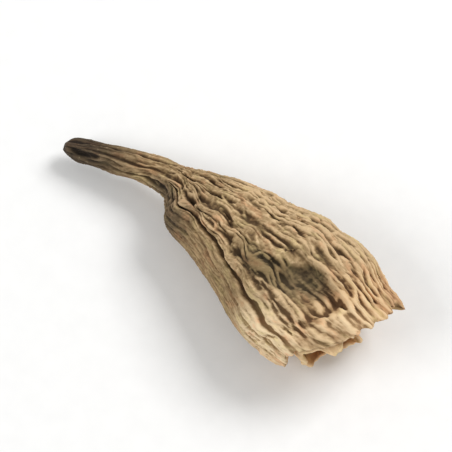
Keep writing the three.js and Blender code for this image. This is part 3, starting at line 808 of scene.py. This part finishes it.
class Wire:
    """A shader value that takes part in Python maths: each operator adds a Math node."""

    def __init__(self, finish, socket):
        self.finish = finish
        self.socket = socket

    def math(self, operation, *values):
        return self.finish.node("ShaderNodeMath", {"operation": operation}, dict(enumerate(values)))

    def __add__(self, other):
        return self.math("ADD", self, other)

    def __sub__(self, other):
        return self.math("SUBTRACT", self, other)

    def __rsub__(self, other):
        return self.math("SUBTRACT", other, self)

    def __mul__(self, other):
        return self.math("MULTIPLY", self, other)

    __radd__ = __add__
    __rmul__ = __mul__

    def between(self, low, high):
        """0 up to low, 1 from high on, and a smooth step between them. Low may be the greater."""
        sockets = {"Value": self, "From Min": low, "From Max": high}
        return self.finish.node("ShaderNodeMapRange", {"interpolation_type": "SMOOTHSTEP"}, sockets)


class Finish:
    """A material in the making."""

    def __init__(self, name):
        self.material = bpy.data.materials.new(name)
        self.material.use_nodes = True
        self.tree = self.material.node_tree
        self.tree.nodes.clear()

    def node(self, kind, settings=None, sockets=None, output=0):
        """Adds a shader node: its settings first, then the values or links of its sockets."""
        node = self.tree.nodes.new(kind)
        for name, value in (settings or {}).items():
            setattr(node, name, value)
        for name, value in (sockets or {}).items():
            if isinstance(value, Wire):
                self.tree.links.new(value.socket, node.inputs[name])
            else:
                node.inputs[name].default_value = value
        return Wire(self, node.outputs[output]) if node.outputs else None

    def noted(self, name):
        """A number stored on the mesh."""
        return self.node("ShaderNodeAttribute", {"attribute_name": name}, output="Fac")

    def grained(self, across, along, detail=3, rough=0.6):
        """Noise from 0 to 1 that follows the skin, its waves given in millimetres."""
        place = self.node("ShaderNodeAttribute", {"attribute_name": "grain"}, output="Vector")
        scale = {0: place, 1: (1 / across, 1 / across, 1 / along)}
        place = self.node("ShaderNodeVectorMath", {"operation": "MULTIPLY"}, scale)
        sockets = {"Vector": place, "Scale": 1.0, "Detail": detail, "Roughness": rough}
        return self.node("ShaderNodeTexNoise", None, sockets)

    def blend(self, start, end, share, kind="MIX"):
        """The colour a share of the way from start to end. A Mix node's sockets 0, 6 and 7 are
        its factor and two colours, and its output 2 is the colour they give."""
        settings = {"data_type": "RGBA", "blend_type": kind}
        return self.node("ShaderNodeMix", settings, {0: share, 6: start, 7: end}, output=2)

    def stepped(self, value, colour, *steps):
        """A colour that turns into each step's colour while the value passes between two others."""
        for low, high, next_colour in steps:
            colour = self.blend(colour, next_colour, value.between(low, high))
        return colour


# Shares of the lightness: a mean, painted shade in hollows, a painted highlight on edges, painted light on
# the back, then streaks, mottle and specks.
LIGHTNESS = {"mean": 0.52, "hollow": 0.95, "edge": 2.4, "back": 0.4,
             "streaks": 0.75, "mottle": 0.6, "specks": 0.5}


def dried_skin():
    """Dried morel flesh: light crests and brown pits, deeper pits and hollows darkened by painted
    shade and raised edges lit by a painted highlight, with lengthwise streaks, mottling, warm and
    green patches and whitish dust, and each of the cap's regions in its own tones: the painted
    shade on the dent and in its deepest patch, the flank, the margin, painted light on the back,
    the base end and the lip, a reddish corner, painted shade under the shoulder and at the tip,
    the stem and the inside."""
    skin = Finish("dried_skin")
    streaks = skin.grained(across=0.32, along=3.2)
    mottle = skin.grained(across=2.6, along=4.0)
    specks = skin.grained(across=0.22, along=0.3, detail=2)
    patches = skin.grained(across=1.2, along=2.6)

    # Lightness from the relief: painted shade in hollows, a painted highlight on raised edges and painted
    # light on the back. Streaks, mottle and specks then add the flesh's own variation.
    height = LIGHTNESS["mean"] - skin.noted("hollow") * LIGHTNESS["hollow"]
    height = height + skin.noted("edge") * LIGHTNESS["edge"] + skin.noted("light") * LIGHTNESS["back"]
    lit = height + (streaks - 0.5) * LIGHTNESS["streaks"] + (mottle - 0.5) * LIGHTNESS["mottle"]
    lit = lit + (specks - 0.5) * LIGHTNESS["specks"]
    colour = skin.stepped(lit, tone(84, 63, 40), (0.0, 0.5, tone(132, 107, 72)),
                          (0.4, 0.8, tone(168, 141, 103)), (0.75, 1.15, tone(205, 175, 134)))
    # Painted shade in the deepest pits.
    pit_shade = skin.noted("pit").between(0.8, 1.6) * 0.5
    colour = skin.blend(colour, tone(54, 40, 26), pit_shade)

    # How much of each region's colour shows, what it follows, and its tones.
    shade_pool_share = skin.noted("shade_pool").between(0.0, 0.7) * 0.95
    flank_share = skin.noted("flank") * height.between(0.2, 0.5) * 0.7
    regions = (
        # Painted shade on the dent and in its deepest patch.
        (skin.noted("shade") * 0.95, height, tone(50, 40, 24), (0.1, 0.9, tone(134, 112, 75))),
        (shade_pool_share, lit, tone(60, 48, 30), (0.1, 0.9, tone(130, 109, 76))),
        (flank_share, streaks, tone(114, 91, 59), (0.35, 0.65, tone(176, 149, 108))),
        (skin.noted("margin") * 0.8, lit, tone(112, 76, 46),
         (0.1, 0.55, tone(206, 164, 118)), (0.55, 0.95, tone(230, 194, 148))),
        # Painted light at the base end and the lip.
        (skin.noted("painted_end_light") * 0.95, lit, tone(166, 136, 96), (0.2, 0.75, tone(242, 218, 178))),
        (skin.noted("corner") * 0.85, height, tone(104, 66, 42), (0.3, 0.9, tone(180, 134, 96))),
        # Painted shade at the tip and under the shoulder.
        (skin.noted("painted_shade"), height, tone(34, 26, 18), (0.1, 1.0, tone(88, 72, 52))),
        (skin.noted("stem") * 0.9, lit, tone(190, 122, 64), (0.0, 0.5, tone(252, 220, 172))),
        (skin.noted("inside"), mottle, tone(158, 102, 52), (0.3, 0.7, tone(220, 168, 108))),
    )
    for share, value, *tones in regions:
        colour = skin.blend(colour, skin.stepped(value, *tones), share)

    warm, green = patches.between(0.52, 0.68) * 0.4, patches.between(0.48, 0.34) * 0.3
    dust = specks.between(0.6, 0.75) * 0.25 * height.between(0.4, 0.9)
    colour = skin.blend(colour, tone(186, 130, 88), warm, "COLOR")
    colour = skin.blend(colour, tone(150, 136, 88), green, "COLOR")
    colour = skin.blend(colour, tone(222, 200, 164), dust)

    relief = streaks * 0.5 + specks * 0.5
    bump = {"Strength": 0.7, "Distance": 0.0002, "Height": relief}
    shader = skin.node("ShaderNodeBsdfPrincipled", None, {
        "Base Color": colour,
        "Roughness": 0.9 - height * 0.15 + (specks - 0.5) * 0.1,
        "Normal": skin.node("ShaderNodeBump", None, bump),
        "Specular IOR Level": 0.35,
    })
    skin.node("ShaderNodeOutputMaterial", None, {"Surface": shader})
    return skin.material


mesh.materials.append(dried_skin())
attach(morel_skin, "root")
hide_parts("morel")

# ---- Table --------------------------------------------------------------------------------
# A large smooth white board, painted matt, that the cap lies on. It isn't part of the object.
TABLE_REACH = 1.5
TABLE_DROP = 0.00002
SPECKLES_PER_METRE = 400.0


def table_top(across, along):
    """A flat square: the place is the two parameters times the reach, just below the cap."""
    return np.stack([across * TABLE_REACH, along * TABLE_REACH, 0 * across - TABLE_DROP], axis=-1)


ends = np.linspace(-1, 1, 2)
corners = table_top(*np.meshgrid(ends, ends)).reshape(-1, 3)
table = new_piece("table", corners, [(0, 1, 3, 2)])

paint = Finish("white_board")
speckle = paint.node("ShaderNodeTexCoord", output="Object")
speckle = paint.node("ShaderNodeTexNoise", None, {"Vector": speckle, "Scale": SPECKLES_PER_METRE})
paint_shader = paint.node("ShaderNodeBsdfPrincipled", None, {
    "Base Color": paint.blend(tone(236, 236, 235), tone(242, 242, 241), speckle),
    "Roughness": 0.9,
    "Specular IOR Level": 0.2,
})
paint.node("ShaderNodeOutputMaterial", None, {"Surface": paint_shader})
table.data.materials.append(paint.material)

# ---- Light --------------------------------------------------------------------------------
# Two soft boxes, the stronger one over the cap's back and the weaker one over its front, in a
# room of even white light. Each is a square sheet that faces the cap.
ROOM_LIGHT = 0.45


def aimed(name, data, azimuth, elevation, away):
    """A lamp or a camera that looks at the cap's middle from that far away. Azimuth 0 is the
    front, -Y, and it grows towards the right, +X."""
    azimuth, elevation = np.radians(azimuth), np.radians(elevation)
    flat = np.cos(elevation)
    towards_it = Vector((np.sin(azimuth) * flat, -np.cos(azimuth) * flat, np.sin(elevation)))
    thing = bpy.data.objects.new(name, data)
    thing.location = cad_middle + towards_it * away
    thing.rotation_euler = towards_it.to_track_quat("Z", "Y").to_euler()
    bpy.context.scene.collection.objects.link(thing)
    return thing


def soft_box(name, azimuth, elevation, away, side, watts):
    """A square area light that looks at the cap's middle."""
    lamp = bpy.data.lights.new(name, "AREA")
    lamp.size = side
    lamp.energy = watts
    aimed(name, lamp, azimuth, elevation, away)


soft_box("back_box", azimuth=165, elevation=48, away=0.6, side=0.28, watts=2.5)
soft_box("front_box", azimuth=-25, elevation=40, away=0.7, side=0.35, watts=2.0)
world = bpy.data.worlds.new("white_room")
world.use_nodes = True
world.node_tree.nodes["Background"].inputs["Color"].default_value = (1, 1, 1, 1)
world.node_tree.nodes["Background"].inputs["Strength"].default_value = ROOM_LIGHT
bpy.context.scene.world = world
bpy.context.scene.view_settings.view_transform = "Standard"

# ---- Camera -------------------------------------------------------------------------------
# A long lens that looks down on the lying cap from its front right.
LENS = 250

lens = bpy.data.cameras.new("camera")
lens.lens = LENS
bpy.context.scene.camera = aimed("camera", lens, azimuth=44, elevation=64, away=0.385)
